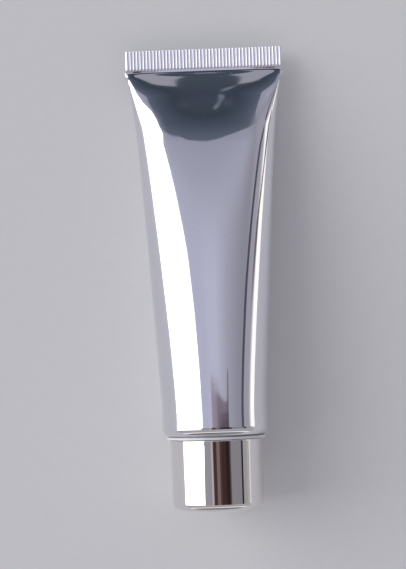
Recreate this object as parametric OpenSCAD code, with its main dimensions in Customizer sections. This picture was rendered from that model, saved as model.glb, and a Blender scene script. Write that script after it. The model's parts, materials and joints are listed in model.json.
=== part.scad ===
// A laminate squeeze tube with a screw cap, lying on its flattened underside.
// The sleeve is round at the shoulder and flat at the crimped tail.

/* [Sleeve] */
// Outside diameter of the round end
sleeve_d = 35; // [28:0.5:45]
// Length from the end at the shoulder to the end of the crimp
sleeve_len = 130; // [100:1:170]
// Thickness of the laminate
sleeve_wall = 0.4; // [0.3:0.05:0.6]
// Radius with which the sleeve curls over the shoulder
curl_r = 2.5; // [1.5:0.1:4]
// How late the sleeve widens: 1 is a straight taper
flare_power = 1.13; // [1.1:0.01:1.8]
// Share of the widening that comes only near the crimp's corners
corner_share = 0.22; // [0:0.01:0.3]
// How suddenly that share comes: higher is nearer the crimp
corner_power = 12; // [8:1:24]

/* [Crimp] */
// Length of the ribbed band across the tail
crimp_len = 6.3; // [4:0.1:10]
// Length of the plain band between the ribs and the open sleeve
plain_len = 1; // [0.5:0.1:3]
// Number of ribs across the width
rib_count = 47; // [36:1:52]
// Height of a rib from trough to crest
rib_depth = 0.5; // [0.2:0.05:0.8]
// Width that the ribs gather out of the flat sleeve
rib_gather = 2; // [0:0.1:3]
// How far each corner below the crimp stands out past it
corner_out = 0.4; // [0:0.05:0.7]

/* [Shoulder and neck] */
// Thickness of the moulded shoulder
shoulder_wall = 1.3; // [0.8:0.1:2]
// Length of the shoulder's skirt inside the sleeve
skirt_len = 5; // [3:0.1:9]
// Diameter of the collar that the cap closes on
collar_d = 32.2; // [31.2:0.1:33]
// Height of the collar
collar_h = 0.75; // [0.4:0.05:1.5]
// Diameter of the neck over the crests of its thread
neck_d = 15; // [12:0.1:18]
// Height of the neck above the collar
neck_len = 10; // [7:0.1:12]
// Wall of the neck
neck_wall = 1.6; // [1.2:0.1:2.4]
// Diameter of the opening in the end of the neck
orifice_d = 5; // [4.2:0.1:7]
// Depth of the thread
thread_depth = 0.8; // [0.4:0.05:1]

/* [Cap] */
// Outside diameter of the cap at its mouth
cap_d = 30.2; // [29:0.1:31]
// How much narrower the cap is at its closed end
cap_taper = 0.7; // [0:0.1:1.5]
// Length of the cap
cap_len = 22.2; // [18:0.1:32]
// Rounding of the closed end's edge
cap_edge_r = 2.2; // [1:0.1:4]
// Wall of the bright outer shell
shell_wall = 0.6; // [0.4:0.05:1]
// Wall of the plastic core
core_wall = 1.2; // [0.8:0.1:1.8]
// Thickness of the sealing disc
wad_h = 1.2; // [0.8:0.1:2]

/* [Fits] */
// Gap between the sleeve and the shoulder that it is welded to
weld_gap = 0.1; // [0.06:0.01:0.2]
// Gap between the core and the shell pressed onto it
core_gap = 0.02; // [0.01:0.01:0.05]
// Gap at the cap's mouth and at the sealing disc when closed
seat_gap = 0.15; // [0.05:0.01:0.3]
// Radial gap between the neck's thread and the core
thread_gap = 0.2; // [0.1:0.01:0.3]

/* [Lying] */
// Angle by which the cap's axis rises from the surface
lie_tilt = 3.5; // [1:0.1:7]
// Height of the crimp's middle above the surface
crimp_rise = 8.5; // [1:0.1:12]
// Steepness of each face where it meets the crimp
tail_slope = 0.7; // [0.4:0.01:1]
// Length over which the faces ease into the round of the sleeve
tail_reach = 55; // [20:1:60]
// Length over which the top starts to fall as the sides widen
fall_start = 12; // [1:1:30]
// How flat the sleeve is across its tail: 0 is an ellipse
end_flatness = 0.5; // [0:0.05:0.7]
// Depth by which the underside is pressed flat
flat_depth = 0.35; // [0.1:0.01:0.8]
// Length over which the sleeve bends from the shoulder's line to the surface's
bend_len = 14; // [8:1:24]

/* [Hidden] */
$fn = 96;

// Points around the sleeve and along its crimp, and rings along it
around = 2 * rib_count;
rib_steps = 2 * rib_count;
crimp_points = 2 * rib_steps + 2;
rings_out = 28;
rings_in = 13;
rings_curl = 3;
// Height of the inside where it ends at the crimp
meet_gap = 0.6;

sleeve_r = sleeve_d / 2;
girth = PI * sleeve_d;
crimp_w = girth / 2 - rib_gather;
open_w = crimp_w + 2 * corner_out;
fin_t = 2 * sleeve_wall;
open_end = sleeve_len - crimp_len - plain_len;
// The sleeve stays round as far as the shoulder's skirt reaches
round_end = curl_r + skirt_len;
bend_mid = round_end + bend_len / 2;

// Distances toward the nozzle, measured from the sleeve's end
collar_base = seat_gap;
collar_top = collar_base + collar_h;
cap_mouth = collar_top + seat_gap;
cap_end = cap_mouth + cap_len;
neck_top = collar_top + neck_len;
wad_base = neck_top + seat_gap;
plate_base = wad_base + wad_h + seat_gap;

// The core's socket clears the crests of the neck's thread
neck_root_r = neck_d / 2 - thread_depth;
socket_r = neck_d / 2 + thread_gap;
shell_in_r = cap_d / 2 - shell_wall;
taper = cap_taper / 2 / cap_len;

// Lifts the underside onto z = 0 and centres the part over the origin
lift = sleeve_r * cos(lie_tilt) + bend_mid * sin(lie_tilt);
fin_z = crimp_rise / cos(lie_tilt) - sleeve_r + (open_end - bend_mid) * tan(lie_tilt);
back_y = open_end * cos(lie_tilt) + fin_z * sin(lie_tilt) + plain_len + crimp_len;
end_edge = cap_d / 2 - cap_taper / 2 - cap_edge_r;
front_y = -(cap_end - cap_edge_r) * cos(lie_tilt) - end_edge * sin(lie_tilt) - cap_edge_r;

function clamp01(v) = min(max(v, 0), 1);
function ease(v) = let (c = clamp01(v)) c * c * (3 - 2 * c);

// Larger of two values with a rounded change-over of width k
function soft_max(p, q, k) =
    let (h = max(k - abs(p - q), 0) / k)
    max(p, q) + h * h * k / 4;

// Perimeter of an ellipse, and the half height that gives a perimeter
function ellipse_girth(a, b) = PI * (3 * (a + b) - sqrt((3 * a + b) * (a + 3 * b)));
function height_for(a, g, low, high, n) =
    n == 0 ? (low + high) / 2 :
    ellipse_girth(a, (low + high) / 2) > g ?
        height_for(a, g, low, (low + high) / 2, n - 1) :
        height_for(a, g, (low + high) / 2, high, n - 1);

// Share of the way from the round end to the crimp
function along(s) = clamp01((s - round_end) / (open_end - round_end));
function half_w(s) =
    let (u = along(s))
    sleeve_r + (open_w / 2 - sleeve_r)
        * ((1 - corner_share) * pow(u, flare_power) + corner_share * pow(u, corner_power));

// Half height from the foil's girth, cut down to a wedge before the crimp
function wedge_h(s) =
    let (back = open_end - s)
    fin_t / 2 + tail_slope * back / (1 + back / tail_reach);
function half_h(s) =
    let (
        u = along(s),
        past = max(s - round_end, 0),
        start = past / (past + fall_start * (1 - u) + 0.001),
        full = height_for(sleeve_r + (half_w(s) - sleeve_r) * start, girth, 0, sleeve_r, 24),
        cut = ease(2 * u) * soft_max(0, full - wedge_h(s), 2),
        pinch = pow(u, 200)
    )
    (full - cut) * (1 - pinch) + fin_t / 2 * pinch;

// Underside above the surface, and the same in the tube's own frame
function under(s) = soft_max(0, crimp_rise - half_h(s), 2.5);
function bend(s) =
    let (v = clamp01((s - round_end) / bend_len))
    v < 1 ? bend_len * (pow(v, 3) - pow(v, 4) / 2) : s - bend_mid;
function under_z(s) = -sleeve_r + bend(s) * tan(lie_tilt) + under(s) / cos(lie_tilt);
function pressed(s) = flat_depth * ease((s - round_end) / bend_len) * ease((open_end - s) / 25);

// The section is an ellipse that flattens out before the crimp
function section_power(s) = 1 - end_flatness * ease((s - open_end + 20) / 15);

// Share of the half width at an angle: round at first, evenly spaced at the crimp
function spread(t, even) =
    let (level = abs(t - 180) / 90 - 1)
    cos(t) + (level - cos(t)) * even;

// One ring of the sleeve at s, drawn in by the given depth
function ring(s, inset) =
    let (
        deep = pressed(s),
        h = half_h(s) + deep / 2 - inset,
        a = half_w(s) - inset,
        low = under_z(s) + inset,
        mid = under_z(s) - deep + half_h(s) + deep / 2,
        e = section_power(s),
        even = pow(along(s), 12)
    )
    [for (i = [0:around - 1])
        let (
            c = spread(360 * i / around, even),
            side = i <= rib_count ? 1 : -1,
            rise = side * pow(max(1 - c * c, 0), e / 2)
        )
        [a * c, s, max(mid + h * rise, low)]];

function round_ring(s, r) =
    [for (i = [0:around - 1])
        [r * cos(360 * i / around), s, r * sin(360 * i / around)]];

// One outline of the crimp, a distance past the open sleeve, with ribs of the given depth
function crimp_point(k, d, z) =
    [crimp_w / 2 - k * crimp_w / rib_steps,
        open_end + d * cos(lie_tilt) - z * sin(lie_tilt),
        fin_z + d * sin(lie_tilt) + z * cos(lie_tilt)];
function wave(k, depth) = (k % 2 == 0 ? -1 : 1) * depth / 2;
function crimp_ring(d, depth) =
    concat(
        [for (k = [0:rib_steps]) crimp_point(k, d, wave(k, depth) + fin_t / 2)],
        [for (k = [rib_steps:-1:0]) crimp_point(k, d, wave(k, depth) - fin_t / 2)]
    );

// Rings come closer together toward the crimp
function station(i, n, first, last) = first + (last - first) * (1 - pow(1 - i / n, 1.7));

// The inside stops where the two walls meet
function meet_s(low, high, n) =
    n == 0 ? low :
    half_h((low + high) / 2) > sleeve_wall + meet_gap / 2 ?
        meet_s((low + high) / 2, high, n - 1) :
        meet_s(low, (low + high) / 2, n - 1);

// Triangles between two rings of n points that start at p and q
function band(p, q, n) =
    [for (i = [0:n - 1], half = [0, 1])
        let (j = (i + 1) % n)
        half == 0 ? [p + i, q + i, q + j] : [p + i, q + j, p + j]];

// Triangles from the last ring of the sleeve to the crimp, which has two points for its one
function gather(p, q) =
    concat(
        [for (i = [0:around - 1], third = [0:2])
            let (
                j = (i + 1) % around,
                k = q + 2 * i + (i < rib_count ? 0 : 1)
            )
            third == 0 ? [p + i, k, k + 1] :
            third == 1 ? [p + i, k + 1, p + j] :
            [p + j, k + 1, k + 2]],
        [
            [p + rib_count, q + rib_steps, q + rib_steps + 1],
            [p, q + crimp_points - 1, q]
        ]
    );

// Triangles across the first ring, from its upper points to the lower ones
function inner_tip() =
    concat(
        [for (i = [0:rib_count - 2]) [i, i + 1, around - i - 1]],
        [for (i = [1:rib_count - 1]) [i, around - i - 1, around - i]]
    );

// Triangles across the crimp's end, whose outline starts at q
function crimp_end(q) =
    [for (k = [0:rib_steps - 1], half = [0, 1])
        let (low = q + crimp_points - 1 - k)
        half == 0 ? [q + k, low, low - 1] : [q + k, low - 1, q + k + 1]];

// Puts the tube's own frame in its lying place
module laid() {
    translate([0, -(back_y + front_y) / 2, lift])
        rotate([-lie_tilt, 0, 0])
            children();
}

// Turns a profile about the tube's axis, its height running to the nozzle
module turned() {
    rotate([90, 0, 0])
        rotate_extrude()
            children();
}

module sleeve() {
    inner_end = meet_s(round_end, open_end, 20);
    curl_in = curl_r - sleeve_wall;
    inner = [for (i = [rings_in:-1:0])
        ring(station(i, rings_in, round_end, inner_end), sleeve_wall)];
    inner_curl = [for (k = [0:rings_curl])
        let (f = 90 * (1 - k / rings_curl))
        round_ring(curl_r - curl_in * cos(f), sleeve_r - curl_r + curl_in * sin(f))];
    outer_curl = [for (k = [0:rings_curl])
        let (f = 90 * k / rings_curl)
        round_ring(curl_r * (1 - cos(f)), sleeve_r - curl_r + curl_r * sin(f))];
    outer = [for (i = [0:rings_out])
        ring(station(i, rings_out, round_end, open_end), 0)];
    crimp = [
        crimp_ring(corner_out, 0),
        crimp_ring(plain_len - rib_depth / 2, 0),
        crimp_ring(plain_len, rib_depth),
        crimp_ring(plain_len + crimp_len, rib_depth)
    ];
    rings = concat(inner, inner_curl, outer_curl, outer);
    last = (len(rings) - 1) * around;
    first_crimp = last + around;
    color([0.75, 0.76, 0.8])
        laid()
            polyhedron(
                points = [for (r = concat(rings, crimp)) each r],
                faces = concat(
                    inner_tip(),
                    [for (p = [0:around:last - around]) each band(p, p + around, around)],
                    gather(last, first_crimp),
                    [for (k = [0:len(crimp) - 2])
                        let (p = first_crimp + k * crimp_points)
                        each band(p, p + crimp_points, crimp_points)],
                    crimp_end(first_crimp + (len(crimp) - 1) * crimp_points)
                ),
                convexity = 6
            );
}

module shoulder() {
    seat_r = sleeve_r - sleeve_wall - weld_gap;
    edge_r = curl_r - sleeve_wall - weld_gap;
    plate_top = sleeve_wall + weld_gap;
    boss_r = sleeve_r - curl_r - weld_gap;
    bore_r = neck_root_r - neck_wall;
    color([0.88, 0.88, 0.9])
        laid()
            turned()
                difference() {
                    union() {
                        translate([0, -curl_r - skirt_len])
                            square([seat_r, skirt_len]);
                        translate([0, -curl_r])
                            square([seat_r - edge_r, curl_r - plate_top]);
                        translate([seat_r - edge_r, -curl_r])
                            circle(edge_r);
                        translate([0, -plate_top - 0.2])
                            square([boss_r, plate_top + 0.2 + collar_top]);
                        translate([0, collar_base])
                            square([collar_d / 2, collar_h]);
                        square([neck_root_r, neck_top]);
                    }
                    translate([0, -curl_r - skirt_len - 1])
                        square([seat_r - shoulder_wall, skirt_len + 1]);
                    translate([0, -curl_r - 0.1])
                        square([seat_r - edge_r, curl_r - plate_top - shoulder_wall + 0.1]);
                    translate([0, -curl_r - 1])
                        square([bore_r, neck_top + curl_r + 1 - neck_wall]);
                    translate([0, -curl_r])
                        square([orifice_d / 2, neck_top + curl_r + 1]);
                }
}

module wad() {
    color([0.93, 0.93, 0.9])
        laid()
            turned()
                translate([0, wad_base])
                    square([socket_r - seat_gap, wad_h]);
}

// Outline of a cap, narrowed by the depth given
module cap_outline(inset) {
    edge = cap_edge_r - inset;
    top = cap_end - inset;
    cy = top - edge;
    lean = sqrt(1 + taper * taper);
    mouth_r = cap_d / 2 - inset;
    cx = mouth_r - taper * (cy - cap_mouth) - edge * lean;
    polygon([
        [0, cap_mouth],
        [mouth_r, cap_mouth],
        [cx + edge / lean, cy + edge * taper / lean],
        [cx, cy],
        [cx, top],
        [0, top]
    ]);
    translate([cx, cy])
        circle(edge);
}

module cap_shell() {
    color([0.8, 0.77, 0.76])
        laid()
            turned()
                difference() {
                    cap_outline(0);
                    cap_outline(shell_wall);
                    translate([0, cap_mouth - 1])
                        square([shell_in_r, 1.5]);
                }
}

module cap_core() {
    core_inset = shell_wall + core_gap;
    color([0.9, 0.9, 0.92])
        laid()
            turned()
                difference() {
                    cap_outline(core_inset);
                    // Lower chamber around the socket
                    difference() {
                        translate([0, cap_mouth - 1])
                            square([shell_in_r - core_gap - core_wall, plate_base - cap_mouth + 1]);
                        translate([0, cap_mouth])
                            square([socket_r + core_wall, plate_base - cap_mouth]);
                    }
                    // Socket for the neck and the sealing disc
                    translate([0, cap_mouth - 1])
                        square([socket_r, plate_base - cap_mouth + 1]);
                    // Empty space above the plate
                    translate([0, plate_base + core_wall])
                        square([shell_in_r - core_gap - core_wall - cap_taper / 2,
                            cap_end - core_inset - core_wall - plate_base - core_wall]);
                }
}

sleeve();
shoulder();
wad();
cap_core();
cap_shell();
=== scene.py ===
import json
import math

import bpy
from mathutils import Euler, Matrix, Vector, noise


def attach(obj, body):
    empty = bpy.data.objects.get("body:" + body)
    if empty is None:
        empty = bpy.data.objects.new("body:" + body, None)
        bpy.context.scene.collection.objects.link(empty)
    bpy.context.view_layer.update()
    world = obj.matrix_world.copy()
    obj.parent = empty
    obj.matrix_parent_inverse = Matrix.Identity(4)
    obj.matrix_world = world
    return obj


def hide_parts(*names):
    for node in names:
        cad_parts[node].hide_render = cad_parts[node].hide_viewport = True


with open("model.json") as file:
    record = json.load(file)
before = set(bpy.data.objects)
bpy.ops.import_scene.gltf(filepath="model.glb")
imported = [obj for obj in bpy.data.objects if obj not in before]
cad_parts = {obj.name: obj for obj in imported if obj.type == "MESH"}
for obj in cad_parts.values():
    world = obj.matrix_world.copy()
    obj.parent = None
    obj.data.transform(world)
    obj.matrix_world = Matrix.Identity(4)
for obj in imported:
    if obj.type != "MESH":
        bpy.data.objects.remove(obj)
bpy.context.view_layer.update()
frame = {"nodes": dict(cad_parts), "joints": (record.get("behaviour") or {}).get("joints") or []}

MM = 0.001
halvings = 40

# The tube's own frame: x across the crimp, s along the axis toward the tail, h up
joints = {joint["name"]: joint for joint in frame["joints"]}
turn = joints["cap_turn"]
sleeve_end = Vector(turn["pos_m"])
to_nozzle = Vector(turn["axis"]).normalized()
to_tail = -to_nozzle
across = Vector((1, 0, 0))
upward = across.cross(to_tail)
lie_tilt = math.asin(to_nozzle.z)

# Sleeve
sleeve_r = 17.5 * MM
sleeve_len = 130 * MM
sleeve_wall = 0.4 * MM
curl_r = 2.5 * MM
skirt_len = 5 * MM
flare_power = 1.13
corner_share = 0.22
corner_power = 12

# Crimp
crimp_len = 6.3 * MM
plain_len = 1 * MM
rib_count = 47
rib_depth = 0.5 * MM
rib_gather = 2 * MM
rib_squareness = 0.6
corner_out = 0.4 * MM

# How the top falls and the section flattens toward the crimp
tail_slope = 0.7
tail_reach = 55 * MM
fall_start = 12 * MM
fall_share = 0.5
top_blend = 2 * MM
pinch_power = 200
even_power = 12
end_flatness = 0.5
end_flat_from = 20 * MM
end_flat_over = 15 * MM

# How the underside lies on the surface
crimp_rise = 8.5 * MM
flat_depth = 0.35 * MM
flat_fades_over = 25 * MM
bend_len = 14 * MM
under_blend = 2.5 * MM

# Ripple of the handled foil
ripple = 0.02 * MM
ripple_size = 13 * MM
ripple_stretch = 0.55
ripple_seed = Vector((3.1, 7.7, 1.3))
calm_at_curl = 6 * MM
calm_at_crimp = 12 * MM

# Neck and thread, whose first angle is in radians and whose fade is a share of a turn
collar_top = 0.9 * MM
neck_r = 7.5 * MM
thread_depth = 0.8 * MM
thread_lead = 3 * MM
thread_width = thread_lead / 2
thread_turns = 2.2
thread_first = collar_top + 2.4 * MM
thread_angle = 0.6
thread_fade = 0.18
socket_r = 7.7 * MM
socket_thread_depth = thread_depth * 0.85
socket_thread_turns = thread_turns - 0.4

# Cap's shell, with distances from the sleeve's end toward the nozzle
cap_mouth = 1.05 * MM
cap_end = 23.25 * MM
cap_r = 15.1 * MM
cap_end_r = 14.75 * MM
cap_edge_r = 2.2 * MM
cap_lip_r = 0.28 * MM
shell_wall = 0.6 * MM

girth = 2 * math.pi * sleeve_r
crimp_w = girth / 2 - rib_gather
open_w = crimp_w + 2 * corner_out
fin_t = 2 * sleeve_wall
open_end = sleeve_len - crimp_len - plain_len
round_end = curl_r + skirt_len
bend_mid = round_end + bend_len / 2
rise_per_s = math.tan(lie_tilt)
fin_h = crimp_rise / math.cos(lie_tilt) - sleeve_r + (open_end - bend_mid) * rise_per_s


def in_place(x, s, h):
    """The point at these coordinates of the tube's own frame."""
    return sleeve_end + across * x + to_tail * s + upward * h


def clamp(v):
    return min(max(v, 0.0), 1.0)


def ease(v):
    v = clamp(v)
    return v * v * (3 - 2 * v)


def soft_max(p, q, k):
    near = max(k - abs(p - q), 0) / k
    return max(p, q) + near * near * k / 4


def spaced(first, last, n):
    return [first + (last - first) * i / n for i in range(n + 1)]


def narrowed(low, high, is_low):
    """Narrows low and high by halving, round the value up to which is_low holds."""
    for _ in range(halvings):
        middle = (low + high) / 2
        if is_low(middle):
            low = middle
        else:
            high = middle
    return low, high


# Meshes
def mesh_piece(name, points, faces, body, material, sharp_angle):
    """A smooth-shaded piece that rides on a body and takes its finish from a slot."""
    mesh = bpy.data.meshes.new(name)
    mesh.from_pydata([tuple(p) for p in points], [], faces)
    mesh.validate()
    mesh.shade_smooth()
    mesh.set_sharp_from_angle(angle=math.radians(sharp_angle))
    piece = bpy.data.objects.new(name, mesh)
    bpy.context.scene.collection.objects.link(piece)
    mesh.materials.append(material)
    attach(piece, body)
    return piece


def band(p, q, n):
    """Quads between two closed rings of n points that start at p and q."""
    return [(p + i, p + (i + 1) % n, q + (i + 1) % n, q + i) for i in range(n)]


# Shape of the sleeve
def ellipse_girth(a, b):
    return math.pi * (3 * (a + b) - math.sqrt((3 * a + b) * (a + 3 * b)))


def height_for(a, wanted):
    """Half height of the ellipse of half width a with the wanted perimeter."""
    low, high = narrowed(0.0, sleeve_r, lambda b: ellipse_girth(a, b) <= wanted)
    return (low + high) / 2


def along(s):
    """How far s is from the round end to the crimp, from 0 to 1."""
    return clamp((s - round_end) / (open_end - round_end))


def half_w(s):
    u = along(s)
    widening = (1 - corner_share) * u ** flare_power + corner_share * u ** corner_power
    return sleeve_r + (open_w / 2 - sleeve_r) * widening


def wedge_h(s):
    """Half height that the two straight faces before the crimp leave."""
    back = open_end - s
    return fin_t / 2 + tail_slope * back / (1 + back / tail_reach)


def half_h(s):
    """Half height from the foil's girth, cut down to the wedge before the crimp."""
    u = along(s)
    start = (s - round_end) / (s - round_end + fall_start * (1 - u)) if s > round_end else 0
    full = height_for(sleeve_r + (half_w(s) - sleeve_r) * start, girth)
    cut = ease(u / fall_share) * soft_max(0, full - wedge_h(s), top_blend)
    pinch = u ** pinch_power
    return (full - cut) * (1 - pinch) + fin_t / 2 * pinch


def bend(s):
    """How far s is past the bend between the round end and the part that lies down."""
    v = clamp((s - round_end) / bend_len)
    return bend_len * (v ** 3 - v ** 4 / 2) if v < 1 else s - bend_mid


def under_h(s, half):
    under = soft_max(0, crimp_rise - half, under_blend)
    return -sleeve_r + bend(s) * rise_per_s + under / math.cos(lie_tilt)


def rippled(x, s, h, share):
    """How far the foil stands out of true at a point."""
    place = Vector((x, s * ripple_stretch, h)) / ripple_size
    return ripple * share * noise.noise(place + ripple_seed)


# Mesh of the sleeve
steps_per_rib = 8
ring_per_side = 2 * rib_count
around = 2 * ring_per_side
rib_steps = steps_per_rib * rib_count
crimp_points = 2 * rib_steps + 2
crimp_per_ring = rib_steps // ring_per_side
rings_out = 150
rings_in = 40
rings_curl = 9
rings_straight = 5
straight_margin = 0.6 * MM
crowding = 1.7
meet_gap = 0.6 * MM


def sleeve_ring(s, inset):
    """One ring of the sleeve at s, drawn in by the given depth."""
    u = along(s)
    to_crimp = open_end - s
    half = half_h(s)
    deep = flat_depth * ease((s - round_end) / bend_len) * ease(to_crimp / flat_fades_over)
    floor_h = under_h(s, half)
    high = half + deep / 2 - inset
    wide = half_w(s) - inset
    low = floor_h + inset
    middle = floor_h - deep / 2 + half
    power = 1 - end_flatness * ease((end_flat_from - to_crimp) / end_flat_over)
    even = u ** even_power
    waviness = ease((s - curl_r) / calm_at_curl) * ease(to_crimp / calm_at_crimp)
    points = []
    for i in range(around):
        t = 2 * math.pi * i / around
        level = abs(t - math.pi) / (math.pi / 2) - 1
        c = math.cos(t) + (level - math.cos(t)) * even
        side = 1 if i <= ring_per_side else -1
        up = side * max(1 - c * c, 0) ** (power / 2)
        out = 0 if inset else rippled(wide * c, s, high * up, waviness)
        x = (wide + out) * c
        h = max(middle + (high + out) * up, low)
        points.append(in_place(x, s, h))
    return points


def round_ring(s, r):
    turns = [2 * math.pi * i / around for i in range(around)]
    return [in_place(r * math.cos(t), s, r * math.sin(t)) for t in turns]


def curl_ring(r, share):
    """A ring of the curl over the shoulder, from its mouth at 0 to its widest at 1."""
    f = math.pi / 2 * share
    return round_ring(curl_r - r * math.cos(f), sleeve_r - curl_r + r * math.sin(f))


def crimp_ring(d, depth):
    """One outline of the crimp, a distance past the open sleeve, with ribs of this depth."""
    def point(k, side):
        wave = -math.cos(2 * math.pi * k / steps_per_rib)
        square = math.copysign(abs(wave) ** rib_squareness, wave)
        z = square * depth / 2 + side * fin_t / 2
        x = crimp_w / 2 - k * crimp_w / rib_steps
        s = open_end + d * math.cos(lie_tilt) - z * math.sin(lie_tilt)
        h = fin_h + d * math.sin(lie_tilt) + z * math.cos(lie_tilt)
        return in_place(x, s, h)
    upper = [point(k, 1) for k in range(rib_steps + 1)]
    lower = [point(k, -1) for k in range(rib_steps, -1, -1)]
    return upper + lower


def station(i, n, first, last):
    """Rings come closer together toward the crimp."""
    return first + (last - first) * (1 - (1 - i / n) ** crowding)


def meeting_point():
    """Where the two inner walls meet before the crimp."""
    least_h = sleeve_wall + meet_gap / 2
    return narrowed(round_end, open_end, lambda s: half_h(s) > least_h)[0]


def sleeve_rings():
    """Rings from the end of the inside, out round the curl and back to the crimp."""
    inner_end = meeting_point()
    rings = []
    for i in range(rings_in, -1, -1):
        rings.append(sleeve_ring(station(i, rings_in, round_end, inner_end), sleeve_wall))
    for k in range(rings_curl, -1, -1):
        rings.append(curl_ring(curl_r - sleeve_wall, k / rings_curl))
    for k in range(rings_curl + 1):
        rings.append(curl_ring(curl_r, k / rings_curl))
    straight = spaced(curl_r + straight_margin, round_end - straight_margin, rings_straight)
    for s in straight:
        rings.append(round_ring(s, sleeve_r))
    for i in range(rings_out + 1):
        rings.append(sleeve_ring(station(i, rings_out, round_end, open_end), 0))
    return rings


def crimp_rings():
    """The plain strip, the soft start of the ribs and their straight length."""
    rings = [crimp_ring(corner_out, 0)]
    for step, share in ((-0.5, 0), (-0.15, 0.3), (0, 0.85), (0.5, 1)):
        rings.append(crimp_ring(plain_len + rib_depth * step, rib_depth * share))
    rings.append(crimp_ring(plain_len + crimp_len, rib_depth))
    return rings


def inner_end_faces():
    """Faces that close the inside where its two walls meet."""
    faces = [(i, around - i - 1, i + 1) for i in range(ring_per_side - 1)]
    return faces + [(i, around - i, around - i - 1) for i in range(1, ring_per_side)]


def gather(p, q):
    """Triangles from the sleeve's last ring at p to the finer crimp ring at q."""
    faces = []
    half = crimp_per_ring // 2
    for i in range(around):
        j = (i + 1) % around
        k = q + crimp_per_ring * i + (0 if i < ring_per_side else 1)
        faces += [(p + i, k + m + 1, k + m) for m in range(half)]
        faces.append((p + i, p + j, k + half))
        faces += [(p + j, k + m + 1, k + m) for m in range(half, crimp_per_ring)]
    faces.append((p + ring_per_side, q + rib_steps + 1, q + rib_steps))
    faces.append((p, q, q + crimp_points - 1))
    return faces


def tail_end_faces(q):
    """Quads across the cut end of the crimp, whose outline starts at q."""
    faces = []
    for k in range(rib_steps):
        low = q + crimp_points - 1 - k
        faces.append((q + k, q + k + 1, low - 1, low))
    return faces


def build_sleeve(material):
    rings = sleeve_rings()
    crimp = crimp_rings()
    points = [p for ring in rings + crimp for p in ring]
    last_ring = (len(rings) - 1) * around
    first_crimp = last_ring + around
    last_crimp = first_crimp + (len(crimp) - 1) * crimp_points
    faces = inner_end_faces()
    for p in range(0, last_ring, around):
        faces += band(p, p + around, around)
    faces += gather(last_ring, first_crimp)
    for p in range(first_crimp, last_crimp, crimp_points):
        faces += band(p, p + crimp_points, crimp_points)
    faces += tail_end_faces(last_crimp)
    piece = mesh_piece("sleeve_foil", points, faces, "tube", material,
                       sharp_angle=40)
    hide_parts("sleeve")


# Turned pieces
def ring_faces(one, two, steps):
    """Faces between two rings of points, either of which may be one point on the axis."""
    faces = []
    if len(one) == len(two) == 1:
        return faces
    for i in range(steps):
        j = (i + 1) % steps
        if len(one) == 1:
            faces.append((one[0], two[j], two[i]))
        elif len(two) == 1:
            faces.append((one[i], one[j], two[0]))
        else:
            faces.append((one[i], one[j], two[j], two[i]))
    return faces


def turned(name, profile, steps, body, material, sharp_angle):
    """A closed profile of (radius, distance toward the nozzle) turned about the axis."""
    points = []
    rings = []
    for r, d in profile:
        if r == 0:
            rings.append([len(points)])
            points.append(in_place(0, -d, 0))
            continue
        rings.append(list(range(len(points), len(points) + steps)))
        for i in range(steps):
            t = 2 * math.pi * i / steps
            points.append(in_place(r * math.cos(t), -d, r * math.sin(t)))
    faces = []
    for one, two in zip(rings, rings[1:] + rings[:1]):
        faces += ring_faces(one, two, steps)
    return mesh_piece(name, points, faces, body, material, sharp_angle)


def arc(cx, cy, r, start, end, n):
    """Points on an arc in the profile's plane, angles in degrees."""
    angles = [math.radians(a) for a in spaced(start, end, n)]
    return [(cx + r * math.cos(a), cy + r * math.sin(a)) for a in angles]


shell_steps = 256


def build_cap_shell(material):
    """The bright drawn cup, with a small rolled lip at its mouth."""
    fall = (cap_r - cap_end_r) / (cap_end - cap_mouth)
    edge_start = cap_end - cap_edge_r
    edge_at = cap_r - fall * (edge_start - cap_mouth)
    lip_end = cap_mouth + cap_lip_r
    wall_start = lip_end + 0.12 * MM
    wall_evens_at = cap_mouth + 2.1 * MM
    step = 1 * MM
    inner_edge_r = cap_edge_r - shell_wall

    def wall(inset, distances):
        return [(cap_r - inset - fall * (d - cap_mouth), d) for d in distances]

    profile = arc(cap_r - cap_lip_r, lip_end, cap_lip_r, -90, 0, 6)
    profile += wall(0, [wall_start] + spaced(wall_evens_at, edge_start, 10))
    profile += arc(edge_at - cap_edge_r, edge_start, cap_edge_r, 3, 90, 16)
    profile += [(r, cap_end) for r in spaced(edge_at - cap_edge_r - step, step, 8)]
    profile += [(0, cap_end), (0, cap_end - shell_wall)]
    profile += arc(edge_at - shell_wall - inner_edge_r, edge_start, inner_edge_r, 90, 0, 8)
    profile += wall(shell_wall, spaced(edge_start - step, cap_mouth, 6))
    piece = turned("cap_shell_metal", profile, shell_steps, "cap", material,
                   sharp_angle=50)
    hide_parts("cap_shell")


# Section of a thread: place across its width, and share of its depth
thread_section = [
    (-0.46, -0.1), (-0.28, 0.55), (-0.12, 0.95), (0.12, 0.95), (0.28, 0.55), (0.46, -0.1)]
helix_steps = 72


def helix(name, root, depth, first, turns, body, material, inward=False):
    """A rounded screw thread that fades into the wall at both ends."""
    n = int(turns * helix_steps)
    fade_steps = helix_steps * thread_fade
    m = len(thread_section)
    points = []
    faces = []
    for k in range(n + 1):
        a = thread_angle + 2 * math.pi * k / helix_steps
        fade = min(ease(k / fade_steps), ease((n - k) / fade_steps))
        for offset, out in thread_section:
            grown = depth * out * fade if out > 0 else depth * out
            r = root - grown if inward else root + grown
            d = first + thread_lead * k / helix_steps + offset * thread_width
            points.append(in_place(r * math.cos(a), -d, r * math.sin(a)))
    for k in range(n):
        for i in range(m):
            j = (i + 1) % m
            p = k * m
            quad = (p + i, p + j, p + m + j, p + m + i)
            faces.append(quad if inward else quad[::-1])
    start = tuple(range(m))
    end = tuple(range(n * m, n * m + m))
    faces += [start[::-1], end] if inward else [start, end[::-1]]
    mesh_piece(name, points, faces, body, material, sharp_angle=60)


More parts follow.
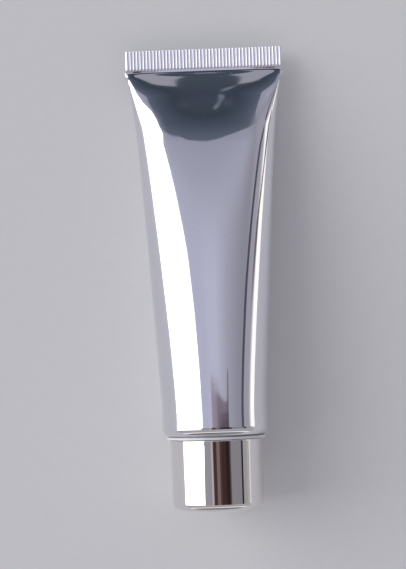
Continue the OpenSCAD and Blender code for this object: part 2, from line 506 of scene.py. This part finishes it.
# Shader nodes
def new_group(name, inputs, outputs):
    """A shader node group with named inputs (name, default) and outputs (name, type)."""
    group = bpy.data.node_groups.new(name, "ShaderNodeTree")
    for label, value in inputs:
        socket = group.interface.new_socket(name=label, in_out="INPUT",
                                            socket_type="NodeSocketFloat")
        socket.default_value = value
    for label, kind in outputs:
        group.interface.new_socket(name=label, in_out="OUTPUT", socket_type=kind)
    start = group.nodes.new("NodeGroupInput")
    end = group.nodes.new("NodeGroupOutput")
    return group, start, end


def set_input(tree, socket, value):
    """Sets a socket to a number, or links it to another node's output."""
    if isinstance(value, (int, float)):
        socket.default_value = value
    else:
        tree.links.new(value, socket)


def math_node(tree, operation, one, two=None, clamp_it=False):
    node = tree.nodes.new("ShaderNodeMath")
    node.operation = operation
    node.use_clamp = clamp_it
    set_input(tree, node.inputs[0], one)
    if two is not None:
        set_input(tree, node.inputs[1], two)
    return node.outputs[0]


def noise_node(tree, vector, scale, detail, rough=0.5):
    node = tree.nodes.new("ShaderNodeTexNoise")
    tree.links.new(vector, node.inputs["Vector"])
    set_input(tree, node.inputs["Scale"], scale)
    node.inputs["Detail"].default_value = detail
    node.inputs["Roughness"].default_value = rough
    return node.outputs["Fac"]


def object_place(tree, scale=(1, 1, 1)):
    coordinates = tree.nodes.new("ShaderNodeTexCoord")
    mapping = tree.nodes.new("ShaderNodeMapping")
    mapping.inputs["Scale"].default_value = scale
    tree.links.new(coordinates.outputs["Object"], mapping.inputs["Vector"])
    return mapping.outputs["Vector"]


def map_range(tree, value, **ends):
    """A Map Range node whose ends are given as from_min, from_max, to_min and to_max."""
    node = tree.nodes.new("ShaderNodeMapRange")
    for label, number in ends.items():
        node.inputs[label.replace("_", " ").title()].default_value = number
    tree.links.new(value, node.inputs["Value"])
    return node


# Effects that several materials share
def make_surface_grain():
    """Height of the fine unevenness of a rolled or moulded surface."""
    group, start, end = new_group(
        "Surface grain",
        [("Broad scale", 60.0), ("Fine scale", 900.0), ("Fine share", 0.2)],
        [("Height", "NodeSocketFloat")])
    place = object_place(group)
    broad = noise_node(group, place, start.outputs["Broad scale"], detail=1.0)
    fine = noise_node(group, place, start.outputs["Fine scale"], detail=3.0)
    part = math_node(group, "MULTIPLY", fine, start.outputs["Fine share"])
    group.links.new(math_node(group, "ADD", broad, part), end.inputs["Height"])
    return group


def make_handling_marks():
    """Mask of hairline scratches and dust that handling leaves on a bright surface."""
    group, start, end = new_group(
        "Handling marks",
        [("Hairlines", 0.5), ("Dust", 0.5)],
        [("Mask", "NodeSocketFloat")])
    hair_scale = (900, 60, 900)
    speck_scale = 420
    patch_scale = 70.0
    dusty_above = 0.6
    drawn = noise_node(group, object_place(group, hair_scale), scale=1.0, detail=4.0, rough=0.7)
    lines = map_range(group, drawn, from_min=0.66, from_max=0.74).outputs["Result"]
    specks = group.nodes.new("ShaderNodeTexVoronoi")
    specks.inputs["Scale"].default_value = speck_scale
    group.links.new(object_place(group), specks.inputs["Vector"])
    dots = map_range(group, specks.outputs["Distance"], from_min=0.11, from_max=0.05)
    area = noise_node(group, object_place(group), patch_scale, detail=2.0)
    dusty = math_node(group, "GREATER_THAN", area, dusty_above)
    dust = math_node(group, "MULTIPLY", dots.outputs["Result"], dusty)
    first = math_node(group, "MULTIPLY", lines, start.outputs["Hairlines"])
    second = math_node(group, "MULTIPLY", dust, start.outputs["Dust"])
    mask = math_node(group, "ADD", first, second, clamp_it=True)
    group.links.new(mask, end.inputs["Mask"])
    return group


surface_grain = make_surface_grain()
handling_marks = make_handling_marks()


def place_group(tree, group, **values):
    """Places a group in a material and returns its one output."""
    node = tree.nodes.new("ShaderNodeGroup")
    node.node_tree = group
    for label, value in values.items():
        node.inputs[label.replace("_", " ").capitalize()].default_value = value
    return node.outputs[0]


# Materials
coat_roughness = 0.05


def new_material(name, metallic, specular=0.5, coat=0.0):
    material = bpy.data.materials.new(name)
    material.use_nodes = True
    shader = material.node_tree.nodes["Principled BSDF"]
    shader.inputs["Metallic"].default_value = metallic
    shader.inputs["Specular IOR Level"].default_value = specular
    shader.inputs["Coat Weight"].default_value = coat
    shader.inputs["Coat Roughness"].default_value = coat_roughness
    return material, material.node_tree, shader


def tinted(tree, shader, base, marked, factor):
    """Base colour that turns to another where the factor is high."""
    mix = tree.nodes.new("ShaderNodeMix")
    mix.data_type = "RGBA"
    mix.inputs["A"].default_value = (*base, 1)
    mix.inputs["B"].default_value = (*marked, 1)
    tree.links.new(factor, mix.inputs["Factor"])
    tree.links.new(mix.outputs["Result"], shader.inputs["Base Color"])


def roughened(tree, shader, factor, low, high):
    """Roughness that goes from low to high with the factor."""
    spread = map_range(tree, factor, to_min=low, to_max=high)
    tree.links.new(spread.outputs["Result"], shader.inputs["Roughness"])


def bumped(tree, shader, height, distance):
    bump = tree.nodes.new("ShaderNodeBump")
    bump.inputs["Strength"].default_value = 1.0
    bump.inputs["Distance"].default_value = distance
    tree.links.new(height, bump.inputs["Height"])
    tree.links.new(bump.outputs["Normal"], shader.inputs["Normal"])


def make_bright_metal(name, base, marked, rough, grain, hairlines, dust, depth):
    """A mirror-bright metal, duller where it is scratched or dusty."""
    material, tree, shader = new_material(name, metallic=1.0)
    height = place_group(tree, surface_grain, **grain)
    marks = place_group(tree, handling_marks, hairlines=hairlines, dust=dust)
    tinted(tree, shader, base, marked, marks)
    roughened(tree, shader, marks, *rough)
    bumped(tree, shader, height, depth)
    return material


def make_plastic(name, base, shaded, rough, grain, depth, coat=0.0):
    """A moulded plastic, whose colour, roughness and height follow one grain."""
    material, tree, shader = new_material(name, metallic=0.0, coat=coat)
    height = place_group(tree, surface_grain, **grain)
    tinted(tree, shader, base, shaded, height)
    roughened(tree, shader, height, *rough)
    bumped(tree, shader, height, depth)
    return material


def grain_of(broad, fine, share):
    return {"broad_scale": broad, "fine_scale": fine, "fine_share": share}


# Aluminium foil under a clear film, and the polished aluminium of the cap
bright_laminate = make_bright_metal(
    "Bright laminate", base=(0.83, 0.83, 0.875), marked=(0.62, 0.62, 0.66),
    rough=(0.055, 0.3), grain=grain_of(55.0, 1500.0, 0.04), hairlines=0.35, dust=0.9,
    depth=0.04 * MM)
bright_cap = make_bright_metal(
    "Bright cap metal", base=(0.87, 0.85, 0.845), marked=(0.6, 0.56, 0.55),
    rough=(0.045, 0.28), grain=grain_of(90.0, 2200.0, 0.03), hairlines=0.5, dust=0.8,
    depth=0.02 * MM)

# Plastics of the shoulder, of the cap's core and of the sealing disc
shoulder_plastic = make_plastic(
    "Shoulder plastic", base=(0.86, 0.86, 0.88), shaded=(0.78, 0.78, 0.8),
    rough=(0.22, 0.34), grain=grain_of(140.0, 1600.0, 0.4), depth=0.03 * MM, coat=0.2)
core_plastic = make_plastic(
    "Core plastic", base=(0.86, 0.86, 0.87), shaded=(0.8, 0.8, 0.81),
    rough=(0.35, 0.5), grain=grain_of(160.0, 2400.0, 0.4), depth=0.04 * MM)
disc_foam = make_plastic(
    "Disc foam", base=(0.93, 0.93, 0.89), shaded=(0.84, 0.84, 0.8),
    rough=(0.6, 0.8), grain=grain_of(420.0, 4200.0, 0.4), depth=0.12 * MM)


def dress(node, material):
    """Gives a CAD node its finish."""
    slots = frame["nodes"][node].material_slots
    for slot in slots:
        slot.material = material
    if not slots:
        frame["nodes"][node].data.materials.append(material)


# The studio
floor_half = 6.0
window_light = (2.5, 2.5, 2.55)
cream = (1.25, 1.2, 1.13)
patch_shade = (0.1, 0.082, 0.103)
left_haze = (0.3, 0.31, 0.37)
right_haze = (0.3, 0.3, 0.35)
lobe_grey = (0.34, 0.345, 0.39)
spot_grey = (0.17, 0.2, 0.245)
line_dark = (0.02, 0.018, 0.024)
line_slate = (0.075, 0.075, 0.1)
second_line_tone = (0.12, 0.11, 0.13)
mouth_bend = 0.00042


def build_floor():
    """Pale paper under the tube."""
    mesh = bpy.data.meshes.new("studio_floor")
    corners = [(x * floor_half, y * floor_half, 0)
               for x, y in ((-1, -1), (1, -1), (1, 1), (-1, 1))]
    mesh.from_pydata(corners, [], [(0, 1, 2, 3)])
    floor = bpy.data.objects.new("studio_floor", mesh)
    bpy.context.scene.collection.objects.link(floor)
    material, tree, shader = new_material("Pale paper", metallic=0.0, specular=0.2)
    fibres = noise_node(tree, object_place(tree), scale=300.0, detail=3.0)
    tinted(tree, shader, (0.86, 0.86, 0.865), (0.83, 0.83, 0.84), fibres)
    shader.inputs["Roughness"].default_value = 0.8
    mesh.materials.append(material)


class Sky:
    """Nodes of the studio's light. Each direction has two angles in degrees: side, from
    straight up across the tube, and tail, toward the tube's tail."""

    def __init__(self):
        world = bpy.data.worlds.new("Studio")
        world.use_nodes = True
        bpy.context.scene.world = world
        self.tree = world.node_tree
        self.tree.nodes.clear()
        coordinates = self.tree.nodes.new("ShaderNodeTexCoord")
        split = self.tree.nodes.new("ShaderNodeSeparateXYZ")
        self.tree.links.new(coordinates.outputs["Generated"], split.inputs[0])
        x, y, z = split.outputs
        degrees = 180 / math.pi
        self.side = self.times(math_node(self.tree, "ARCTAN2", x, z), degrees)
        self.tail = self.times(math_node(self.tree, "ARCSINE", y), degrees)
        # The sleeve's end and the cap's mirror the studio along shallow curves
        self.past_mouth = self.plus(self.tail, self.times(self.side, self.side, mouth_bend))

    def plus(self, one, two):
        return math_node(self.tree, "ADD", one, two)

    def minus(self, one, two):
        return math_node(self.tree, "SUBTRACT", one, two)

    def times(self, first, *others):
        for other in others:
            first = math_node(self.tree, "MULTIPLY", first, other)
        return first

    def apart(self, one, two):
        """How far two values are apart."""
        return math_node(self.tree, "ABSOLUTE", self.minus(one, two))

    def share(self, value, none_at, all_at):
        """0 where the value is at none_at, 1 where it is at all_at, eased between."""
        node = map_range(self.tree, value, from_min=none_at, from_max=all_at)
        node.interpolation_type = "SMOOTHSTEP"
        return node.outputs["Result"]

    def ramp(self, value, low, high, stops):
        """Colours at given values between low and high, straight between them."""
        scaled = map_range(self.tree, value, from_min=low, from_max=high)
        node = self.tree.nodes.new("ShaderNodeValToRGB")
        elements = node.color_ramp.elements
        while len(elements) < len(stops):
            elements.new(1.0)
        for element, (at, colour) in zip(elements, stops):
            element.position = (at - low) / (high - low)
            element.color = (*colour, 1)
        self.tree.links.new(scaled.outputs["Result"], node.inputs[0])
        return node.outputs["Color"]

    def bands(self, value, low, high, starts, soft=0.7):
        """Bands that start at given values, with soft edges."""
        stops = [(low, starts[0][1])]
        for (_, before), (start, colour) in zip(starts, starts[1:]):
            stops += [(start - soft, before), (start + soft, colour)]
        return self.ramp(value, low, high, stops)

    def curve(self, value, low, high, points):
        """A number that follows given points, straight between them."""
        numbers = [v for _, v in points]
        base = min(numbers)
        height = max(numbers) - base
        stops = [(at, [(v - base) / height] * 3) for at, v in points]
        return self.plus(self.times(self.ramp(value, low, high, stops), height), base)

    def mixed(self, first, second, factor):
        """The first colour where the factor is 0 and the second where it is 1."""
        node = self.tree.nodes.new("ShaderNodeMix")
        node.data_type = "RGBA"
        for label, colour in (("A", first), ("B", second)):
            if isinstance(colour, tuple):
                node.inputs[label].default_value = (*colour, 1)
            else:
                self.tree.links.new(colour, node.inputs[label])
        self.tree.links.new(factor, node.inputs["Factor"])
        return node.outputs["Result"]

    def show(self, colour):
        """Lights the world with the finished colour."""
        output = self.tree.nodes.new("ShaderNodeOutputWorld")
        background = self.tree.nodes.new("ShaderNodeBackground")
        self.tree.links.new(background.outputs[0], output.inputs[0])
        self.tree.links.new(colour, background.inputs["Color"])


def ceiling(sky):
    """Lilac overhead, darker to the right and cream near the horizon there."""
    lilac = sky.ramp(sky.side, -100, 110, [
        (-100, (0.46, 0.46, 0.59)),
        (-27, (0.5, 0.5, 0.62)),
        (-15, (0.5, 0.505, 0.625)),
        (-7, (0.53, 0.535, 0.65)),
        (6, (0.53, 0.535, 0.645)),
        (15, (0.47, 0.47, 0.565)),
        (25, (0.395, 0.395, 0.47)),
        (36, (0.35, 0.345, 0.405)),
        (48, (0.3, 0.295, 0.35)),
        (57, (0.29, 0.285, 0.33)),
        (62, (0.36, 0.345, 0.4)),
        (75, (0.39, 0.375, 0.42)),
        (78, (0.62, 0.6, 0.6)),
        (81, cream),
        (93, cream),
    ])
    # It evens out toward the slate wall
    even = sky.ramp(sky.tail, 26, 40, [(26, (0.42, 0.43, 0.51)), (38, (0.335, 0.345, 0.42))])
    evenness = sky.times(
        sky.share(sky.tail, 18, 31),
        sky.share(sky.side, -60, -40),
        sky.share(sky.side, 66, 38))
    return sky.mixed(lilac, even, evenness)


def with_mauve_patch(sky, behind):
    """A mauve patch over the shoulder, lighter along one side and darker toward the cap."""
    patch = sky.bands(sky.side, -100, 110, [
        (-100, (0.34, 0.3, 0.35)),
        (-2.5, (0.316, 0.274, 0.323)),
        (3.5, (0.215, 0.183, 0.222)),
        (23.5, (0.16, 0.14, 0.165)),
    ], soft=2.2)
    toward_cap = sky.times(sky.share(sky.tail, 2.9, 1.5), sky.share(sky.side, 3, 14))
    patch = sky.mixed(patch, patch_shade, toward_cap)
    top = sky.curve(sky.side, -20, 40, [
        (-20, 7.4), (-4, 7.3), (2, 7.1), (10, 6.7), (14, 6.2), (20, 5.6), (25, 5.3), (26, 7),
        (40, 7)])
    inside = sky.times(
        sky.share(sky.side, -9, -6),
        sky.share(sky.side, 29, 27),
        sky.share(sky.minus(sky.tail, top), 0.25, -0.25))
    return sky.mixed(behind, patch, inside)


def before_the_cap(sky):
    """What the cap shows: cream, lilac and brown bands along the tube."""
    return sky.bands(sky.side, -100, 115, [
        (-100, (0.36, 0.33, 0.29)),
        (-40, (0.316, 0.308, 0.35)),
        (-14, (0.5, 0.465, 0.48)),
        (-9.8, (0.063, 0.035, 0.032)),
        (-1, (0.208, 0.14, 0.135)),
        (6.5, (0.08, 0.048, 0.047)),
        (11, (0.048, 0.027, 0.025)),
        (22, (0.026, 0.015, 0.013)),
        (30.5, (0.075, 0.064, 0.068)),
        (34, (0.248, 0.24, 0.264)),
        (64, (0.35, 0.343, 0.366)),
        (78, (0.43, 0.42, 0.427)),
        (86, (0.75, 0.73, 0.68)),
    ])


def light_lobes(sky):
    """Two light corners of the slate wall, each bounded by a slanting edge."""
    left = sky.times(
        sky.share(sky.side, -12.2, -13.4),
        sky.share(sky.minus(sky.tail, sky.times(sky.side, 0.5)), 76.2, 77))
    right = sky.times(
        sky.share(sky.side, 13.9, 15.1),
        sky.share(sky.plus(sky.tail, sky.times(sky.side, 0.55)), 76.5, 77.1))
    either = math_node(sky.tree, "MAXIMUM", left, right)
    return sky.times(either, sky.share(sky.tail, 83, 81.5))


def light_spot(sky):
    """A soft oval between the lobes."""
    spot_side, spot_half_width = 10.5, 4
    spot_tail, spot_half_length = 67.6, 1.6
    x = sky.times(sky.minus(sky.side, spot_side), 1 / spot_half_width)
    y = sky.times(sky.minus(sky.tail, spot_tail), 1 / spot_half_length)
    return sky.share(sky.plus(sky.times(x, x), sky.times(y, y)), 1, 0)


def slate_wall(sky):
    """The wall past the tail, hazy at both sides, with its light lobes and spot."""
    slate = sky.ramp(sky.tail, 30, 90, [
        (30, (0.13, 0.14, 0.19)),
        (41, (0.118, 0.129, 0.174)),
        (44, (0.107, 0.126, 0.161)),
        (48, (0.087, 0.104, 0.142)),
        (52.5, (0.072, 0.087, 0.122)),
        (57.5, (0.057, 0.071, 0.098)),
        (62, (0.0444, 0.0563, 0.0783)),
        (66, (0.049, 0.062, 0.083)),
        (71, (0.056, 0.0676, 0.092)),
        (77, (0.06, 0.076, 0.099)),
        (90, (0.064, 0.078, 0.1)),
    ])
    at_left = sky.times(sky.share(sky.side, -40, -60), sky.share(sky.tail, 49, 42))
    at_right = sky.times(sky.share(sky.side, 44, 62), sky.share(sky.tail, 48, 40))
    slate = sky.mixed(slate, left_haze, at_left)
    slate = sky.mixed(slate, right_haze, at_right)
    slate = sky.mixed(slate, lobe_grey, light_lobes(sky))
    return sky.mixed(slate, spot_grey, light_spot(sky))


def with_slate_wall(sky, behind):
    """The slate wall, whose lower edge is sharp except at the left."""
    edge = sky.curve(sky.side, -90, 90, [
        (-90, 44), (-38, 41), (-29, 41.3), (-19, 39), (0, 38.5), (10, 39.6), (24, 41.7), (38, 42),
        (54, 40), (90, 29)])
    past_edge = sky.minus(sky.tail, edge)
    at_left = sky.share(sky.side, -24, -34)
    sharp = sky.times(sky.share(past_edge, -0.6, 0.6), sky.minus(1.0, at_left))
    soft = sky.times(sky.share(past_edge, -3, 0.6), at_left)
    return sky.mixed(behind, slate_wall(sky), sky.plus(sharp, soft))


def with_dark_lines(sky, behind, over_sleeve):
    """Two dark lines at the right, which lean out toward the tail."""
    first_at = sky.curve(sky.tail, -10, 40, [
        (-10, 64.9), (-2.6, 64.7), (-1.2, 59.4), (8, 59.9), (12, 60.7), (16, 63.5), (20, 67.5),
        (24, 71.5), (28, 74.8)])
    first = sky.times(
        sky.share(sky.apart(sky.side, first_at), 3.1, 1.9),
        sky.share(sky.tail, 31, 26))
    tone = sky.mixed(line_dark, line_slate, over_sleeve)
    # The second is softer and nearer the horizon
    second_at = sky.curve(sky.tail, 4, 30, [
        (4, 75), (10, 76), (13, 78), (16, 86), (20, 88.5), (30, 91)])
    second = sky.times(
        sky.share(sky.apart(sky.side, second_at), 4.2, 1.2),
        sky.share(sky.tail, 5, 12))
    return sky.mixed(sky.mixed(behind, tone, first), second_line_tone, second)


def with_window(sky, behind):
    """The window at the left, whose edge leans out past the tail."""
    edge = sky.curve(sky.tail, -60, 60, [
        (-60, -60), (-12, -34), (-3, -32.5), (1, -28), (4, -29), (13, -30.3), (19, -33.3),
        (26, -45), (29, -48.6), (38, -48.5), (45, -56), (60, -82)])
    inside = sky.times(
        sky.share(sky.minus(sky.side, edge), 0.7, -0.7),
        sky.share(sky.side, -93, -88),
        sky.share(sky.tail, 60, 54))
    return sky.mixed(behind, window_light, inside)


def past_the_cap(sky):
    """Plain, with a bright strip and a dark one low down."""
    return sky.bands(sky.tail, -90, 10, [
        (-90, (0.3, 0.29, 0.3)),
        (-62, (0.07, 0.065, 0.07)),
        (-50, (0.95, 0.93, 0.9)),
        (-38, (0.4, 0.39, 0.41)),
    ], soft=2.5)


def build_sky():
    """The studio's light, from the ceiling overhead to what lies past the cap."""
    sky = Sky()
    over_sleeve = sky.share(sky.past_mouth, 0.1, 0.8)
    over_cap = sky.share(sky.past_mouth, -6.3, -5.3)
    colour = with_mauve_patch(sky, ceiling(sky))
    colour = sky.mixed(before_the_cap(sky), colour, over_sleeve)
    colour = with_slate_wall(sky, colour)
    colour = with_dark_lines(sky, colour, over_sleeve)
    colour = with_window(sky, colour)
    sky.show(sky.mixed(past_the_cap(sky), colour, over_cap))


def build_camera():
    """The camera whose view fits the tube's outline in the photograph."""
    long_side = 569
    focal = 1102.94
    place = (1.08 * MM, -17.42 * MM, 379.96 * MM)
    angles = (2.188, 0.668, -1.956)
    camera = bpy.data.cameras.new("camera")
    camera.sensor_width = 36
    camera.lens = focal / long_side * camera.sensor_width
    camera.clip_start = 0.01
    camera.clip_end = 50
    holder = bpy.data.objects.new("camera", camera)
    bpy.context.scene.collection.objects.link(holder)
    holder.location = place
    holder.rotation_euler = Euler([math.radians(a) for a in angles], "XYZ")
    bpy.context.scene.camera = holder


# The tube, its studio and its camera
build_sleeve(bright_laminate)
build_cap_shell(bright_cap)
dress("shoulder", shoulder_plastic)
dress("cap_core", core_plastic)
dress("wad", disc_foam)
helix("neck_thread", neck_r - thread_depth, thread_depth, thread_first, thread_turns,
      "tube", shoulder_plastic)
helix("core_thread", socket_r, socket_thread_depth, thread_first + thread_lead / 2,
      socket_thread_turns, "cap", core_plastic, inward=True)
build_floor()
build_sky()
build_camera()
bpy.context.scene.view_settings.view_transform = "Standard"
